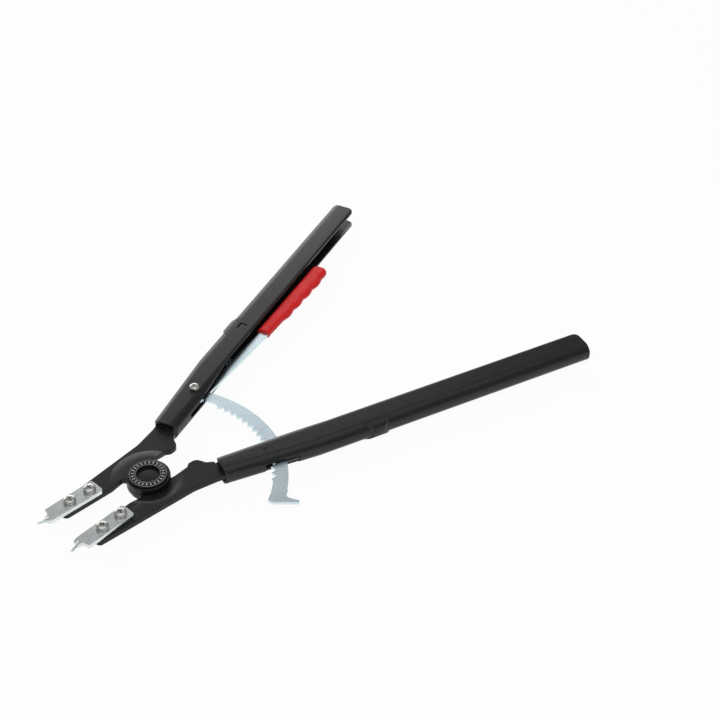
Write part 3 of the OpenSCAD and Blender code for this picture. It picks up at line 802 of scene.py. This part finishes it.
class PLIERS_OT_grip(bpy.types.Operator):
    """Dipped grip with finger ridges, drawn out ring by ring along the lever"""
    bl_idname = "pliers.grip"
    bl_label = "Grip"

    def execute(self, context):
        sizes = context.scene.pliers_sizes
        node = "lever_grip"
        turn = handle_direction()
        triangles = along_and_across(node, turn)
        start = min(s for triangle in triangles for s, n in triangle)
        end = max(s for triangle in triangles for s, n in triangle)
        low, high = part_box(node)
        middle_z = (low.z + high.z) / 2
        thickness = high.z - low.z
        rings = []
        for place in self.stations(start, end, sizes):
            n_low, n_high = span_at(triangles, place)
            past = max(0.0, place - (end - sizes.grip_round)) / sizes.grip_round
            bead = sizes.grip_bead if BEAD_SPAN[0] < place - start < BEAD_SPAN[1] else 0.0
            depth = thickness * math.sqrt(1 - TAIL_FLATTENING * past ** 2)
            rings.append((place, (n_low + n_high) / 2, n_high - n_low + 2 * bead, depth + 2 * bead))
        piece = self.sleeve(rings, middle_z)
        piece.rotation_euler.z = turn
        apply_modifier(piece, "SUBSURF", levels=1, render_levels=1)
        smooth(piece, math.radians(60))
        settle(piece, "dipped_grip", node, finish(SLOTS[node]))
        return {"FINISHED"}

    def stations(self, start, end, sizes):
        """Places of the rings: close together at both ends, and even between them."""
        front = [start + step * MM for step in FRONT_STEPS]
        tail = [end - sizes.grip_round * share for share in TAIL_SHARES]
        count = round((tail[0] - front[-1]) / RING_STEP)
        step = (tail[0] - front[-1]) / count
        return front + [front[-1] + step * i for i in range(1, count)] + tail

    def sleeve(self, rings, middle_z):
        """A closed skin through rings of (place along, middle across, width, depth)."""
        place, centre, width, depth = rings[0]
        bpy.ops.object.select_all(action="DESELECT")
        bpy.ops.mesh.primitive_plane_add(size=1, rotation=(math.pi / 2, 0, math.pi / 2))
        piece = bpy.context.object
        bpy.ops.object.transform_apply(location=True, rotation=True, scale=True)
        with editing(piece):
            bpy.ops.mesh.select_all(action="SELECT")
            bpy.ops.transform.resize(value=(1, width, depth), center_override=(0, 0, 0))
            bpy.ops.transform.translate(value=(place, centre, middle_z))
            corner = SECTION_CORNER * depth
            bpy.ops.mesh.bevel(offset=corner, segments=5, affect="VERTICES", clamp_overlap=True)
            for next_place, next_centre, next_width, next_depth in rings[1:]:
                bpy.ops.mesh.extrude_region_move(
                    TRANSFORM_OT_translate={"value": (next_place - place, next_centre - centre, 0)}
                )
                bpy.ops.transform.resize(
                    value=(1, next_width / width, next_depth / depth),
                    center_override=(next_place, next_centre, middle_z),
                )
                place, centre, width, depth = next_place, next_centre, next_width, next_depth
            bpy.ops.mesh.select_all(action="SELECT")
            bpy.ops.mesh.normals_make_consistent(inside=False)
        return piece


class PLIERS_OT_lever_pivot(bpy.types.Operator):
    """Screw, nut, bush and rings that the lever turns on"""
    bl_idname = "pliers.lever_pivot"
    bl_label = "Lever pivot"

    def execute(self, context):
        node = "lever_screw"
        piece = pan_screw(*screw_shape([v.co for v in NODES[node].data.vertices]))
        settle(piece, f"turned_{node}", node, finish("screws"))
        for node in ("lever_nut", "lever_bush", "lever_spacer", "lever_washer"):
            piece = rounded_copy(node, context.scene.pliers_sizes.small_edge)
            settle(piece, f"turned_{node}", node, finish(SLOTS[node]))
        return {"FINISHED"}


class PLIERS_OT_spring(bpy.types.Operator):
    """Leaf spring between the handle's pocket and the lever"""
    bl_idname = "pliers.spring"
    bl_label = "Spring"

    def execute(self, context):
        node = "lever_spring"
        piece = rounded_copy(node, context.scene.pliers_sizes.small_edge)
        settle(piece, f"bent_{node}", node, finish(SLOTS[node]))
        return {"FINISHED"}


class PLIERS_OT_catch(bpy.types.Operator):
    """Catch pin with a peened upper end"""
    bl_idname = "pliers.catch"
    bl_label = "Catch pin"

    def execute(self, context):
        node = "catch_pin"
        dome = context.scene.pliers_sizes.pin_dome
        low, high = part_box(node)
        place = ((low.x + high.x) / 2, (low.y + high.y) / 2, low.z)
        radius = (high.x - low.x) / 2
        height = high.z - low.z
        profile = [(radius - dome, 0.0), (radius, dome), (radius, height)]
        profile += [
            (radius * math.cos(a) + dome * (1 - math.cos(a)), height + dome * math.sin(a))
            for a in map(math.radians, PEEN_ANGLES)
        ]
        piece = turned(profile, place, sides=40)
        smooth(piece)
        settle(piece, f"peened_{node}", node, finish(SLOTS[node]))
        return {"FINISHED"}


# Stage

def camera_matrix(view):
    """Camera place and turn, from its angles and the pivot's place in the picture."""
    back = Vector((
        math.sin(view.azimuth) * math.cos(view.elevation),
        -math.cos(view.azimuth) * math.cos(view.elevation),
        math.sin(view.elevation),
    ))
    level = Vector((math.cos(view.azimuth), math.sin(view.azimuth), 0))
    steep = back.cross(level)
    right = level * math.cos(view.roll) + steep * math.sin(view.roll)
    up = steep * math.cos(view.roll) - level * math.sin(view.roll)
    pixel = view.distance * SENSOR / (view.lens * PICTURE_PX)
    aside = (view.pivot_u - PICTURE_PX / 2) * pixel
    rise = (PICTURE_PX / 2 - view.pivot_v) * pixel
    place = Vector((0, 0, view.pivot_lift)) - right * aside - up * rise + back * view.distance
    return Matrix.Translation(place) @ Matrix((right, up, back)).transposed().to_4x4()


def seen_directly(nodes, links):
    """One for rays from the camera and for mirror or see-through rays, and nought for the others."""
    path = nodes.new("ShaderNodeLightPath")
    total = path.outputs["Is Camera Ray"]
    for ray in ("Is Glossy Ray", "Is Transmission Ray"):
        add = nodes.new("ShaderNodeMath")
        add.operation = "MAXIMUM"
        links.new(total, add.inputs[0])
        links.new(path.outputs[ray], add.inputs[1])
        total = add.outputs["Value"]
    return total


class PLIERS_OT_stage(bpy.types.Operator):
    """Pale floor, soft light and the camera"""
    bl_idname = "pliers.stage"
    bl_label = "Stage"

    def execute(self, context):
        scene = context.scene
        view = scene.pliers_view
        scene.view_settings.view_transform = "Standard"
        self.floor(scene)
        self.room(scene, view.ambient)
        low, high = CAD_BOX
        centre = (low + high) / 2
        forward = Vector((-math.sin(view.azimuth), math.cos(view.azimuth), 0))
        aside = Vector((math.cos(view.azimuth), math.sin(view.azimuth), 0))
        above = centre + Vector((0, 0, SOFTBOX_HEIGHT)) - forward * SOFTBOX_NEARER
        self.softbox("softbox", above, centre, SOFTBOX_SIZE, view.softbox_power)
        walls = (
            ("backdrop", WALL_FOOT, WALL_STEP, view.backdrop_power),
            ("upper_backdrop", WALL_STEP, WALL_TOP, view.upper_power),
        )
        for name, bottom, top, watts in walls:
            rise = Vector((0, 0, (bottom + top) / 2))
            place = centre + forward * WALL_BEHIND - aside * WALL_ASIDE + rise
            self.softbox(name, place, place - forward, (WALL_WIDTH, top - bottom), watts)
        camera = bpy.data.objects.new("camera", bpy.data.cameras.new("camera"))
        scene.collection.objects.link(camera)
        camera.data.sensor_width = SENSOR
        camera.data.lens = view.lens
        camera.matrix_world = camera_matrix(view)
        scene.camera = camera
        return {"FINISHED"}

    def floor(self, scene):
        """Pale floor that is nearly white to the camera and still keeps the shadow."""
        bpy.ops.object.select_all(action="DESELECT")
        bpy.ops.mesh.primitive_plane_add(size=FLOOR_SIZE, location=(0, 0, CAD_BOX[0].z - FLOOR_GAP))
        floor = bpy.context.object
        floor.name = "floor"
        material = bpy.data.materials.new("pale_floor")
        material.use_nodes = True
        nodes, links = material.node_tree.nodes, material.node_tree.links
        nodes.clear()
        diffuse = nodes.new("ShaderNodeBsdfDiffuse")
        diffuse.inputs["Color"].default_value = (*scene.pliers_finishes.floor, 1)
        glow = nodes.new("ShaderNodeEmission")
        share = nodes.new("ShaderNodeMath")
        share.operation = "MULTIPLY"
        share.inputs[1].default_value = FLOOR_WHITE_SHARE
        mix = nodes.new("ShaderNodeMixShader")
        output = nodes.new("ShaderNodeOutputMaterial")
        links.new(seen_directly(nodes, links), share.inputs[0])
        links.new(share.outputs["Value"], mix.inputs["Fac"])
        links.new(diffuse.outputs["BSDF"], mix.inputs[1])
        links.new(glow.outputs["Emission"], mix.inputs[2])
        links.new(mix.outputs["Shader"], output.inputs["Surface"])
        floor.data.materials.append(material)

    def room(self, scene, ambient):
        """Grey room light, and a white background for the camera."""
        world = bpy.data.worlds.new("room")
        world.use_nodes = True
        nodes, links = world.node_tree.nodes, world.node_tree.links
        nodes.clear()
        path = nodes.new("ShaderNodeLightPath")
        light = nodes.new("ShaderNodeBackground")
        light.inputs["Strength"].default_value = ambient
        white = nodes.new("ShaderNodeBackground")
        mix = nodes.new("ShaderNodeMixShader")
        output = nodes.new("ShaderNodeOutputWorld")
        for background in (light, white):
            background.inputs["Color"].default_value = (1, 1, 1, 1)
        links.new(path.outputs["Is Camera Ray"], mix.inputs["Fac"])
        links.new(light.outputs["Background"], mix.inputs[1])
        links.new(white.outputs["Background"], mix.inputs[2])
        links.new(mix.outputs["Shader"], output.inputs["Surface"])
        scene.world = world

    def softbox(self, name, place, target, size, watts):
        """Lit panel that faces a target and stays out of the picture."""
        lamp = bpy.data.lights.new(name, "AREA")
        lamp.shape = "RECTANGLE"
        lamp.size, lamp.size_y = size
        lamp.energy = watts
        box = bpy.data.objects.new(name, lamp)
        box.location = place
        box.rotation_euler = (target - place).to_track_quat("-Z", "Y").to_euler()
        box.visible_camera = False
        bpy.context.scene.collection.objects.link(box)


class PLIERS_PT_sidebar(bpy.types.Panel):
    """Lists the pliers' pieces and their values"""
    bl_idname = "PLIERS_PT_sidebar"
    bl_label = "Ratchet pliers"
    bl_space_type = "VIEW_3D"
    bl_region_type = "UI"
    bl_category = "Pliers"

    def draw(self, context):
        for operator in OPERATORS:
            self.layout.operator(operator.bl_idname)
        for group in GROUPS:
            values = getattr(context.scene, group)
            for name in values.bl_rna.properties.keys():
                if name not in ("rna_type", "name"):
                    self.layout.prop(values, name)


GROUPS = {"pliers_sizes": PliersSizes, "pliers_finishes": PliersFinishes, "pliers_view": PliersView}
OPERATORS = (
    PLIERS_OT_handles,
    PLIERS_OT_jaws,
    PLIERS_OT_tips,
    PLIERS_OT_tip_screws,
    PLIERS_OT_pivot,
    PLIERS_OT_ratchet,
    PLIERS_OT_grip,
    PLIERS_OT_lever_pivot,
    PLIERS_OT_spring,
    PLIERS_OT_catch,
    PLIERS_OT_stage,
)


def register():
    for group, kind in GROUPS.items():
        bpy.utils.register_class(kind)
        setattr(bpy.types.Scene, group, bpy.props.PointerProperty(type=kind))
    for kind in (*OPERATORS, PLIERS_PT_sidebar):
        bpy.utils.register_class(kind)


def unregister():
    for kind in reversed((*OPERATORS, PLIERS_PT_sidebar)):
        bpy.utils.unregister_class(kind)
    for group, kind in GROUPS.items():
        delattr(bpy.types.Scene, group)
        bpy.utils.unregister_class(kind)


def main():
    register()
    bpy.ops.pliers.handles()
    bpy.ops.pliers.jaws()
    bpy.ops.pliers.tips()
    bpy.ops.pliers.tip_screws()
    bpy.ops.pliers.pivot()
    bpy.ops.pliers.ratchet()
    bpy.ops.pliers.grip()
    bpy.ops.pliers.lever_pivot()
    bpy.ops.pliers.spring()
    bpy.ops.pliers.catch()
    bpy.ops.pliers.stage()


if __name__ == "__main__":
    main()
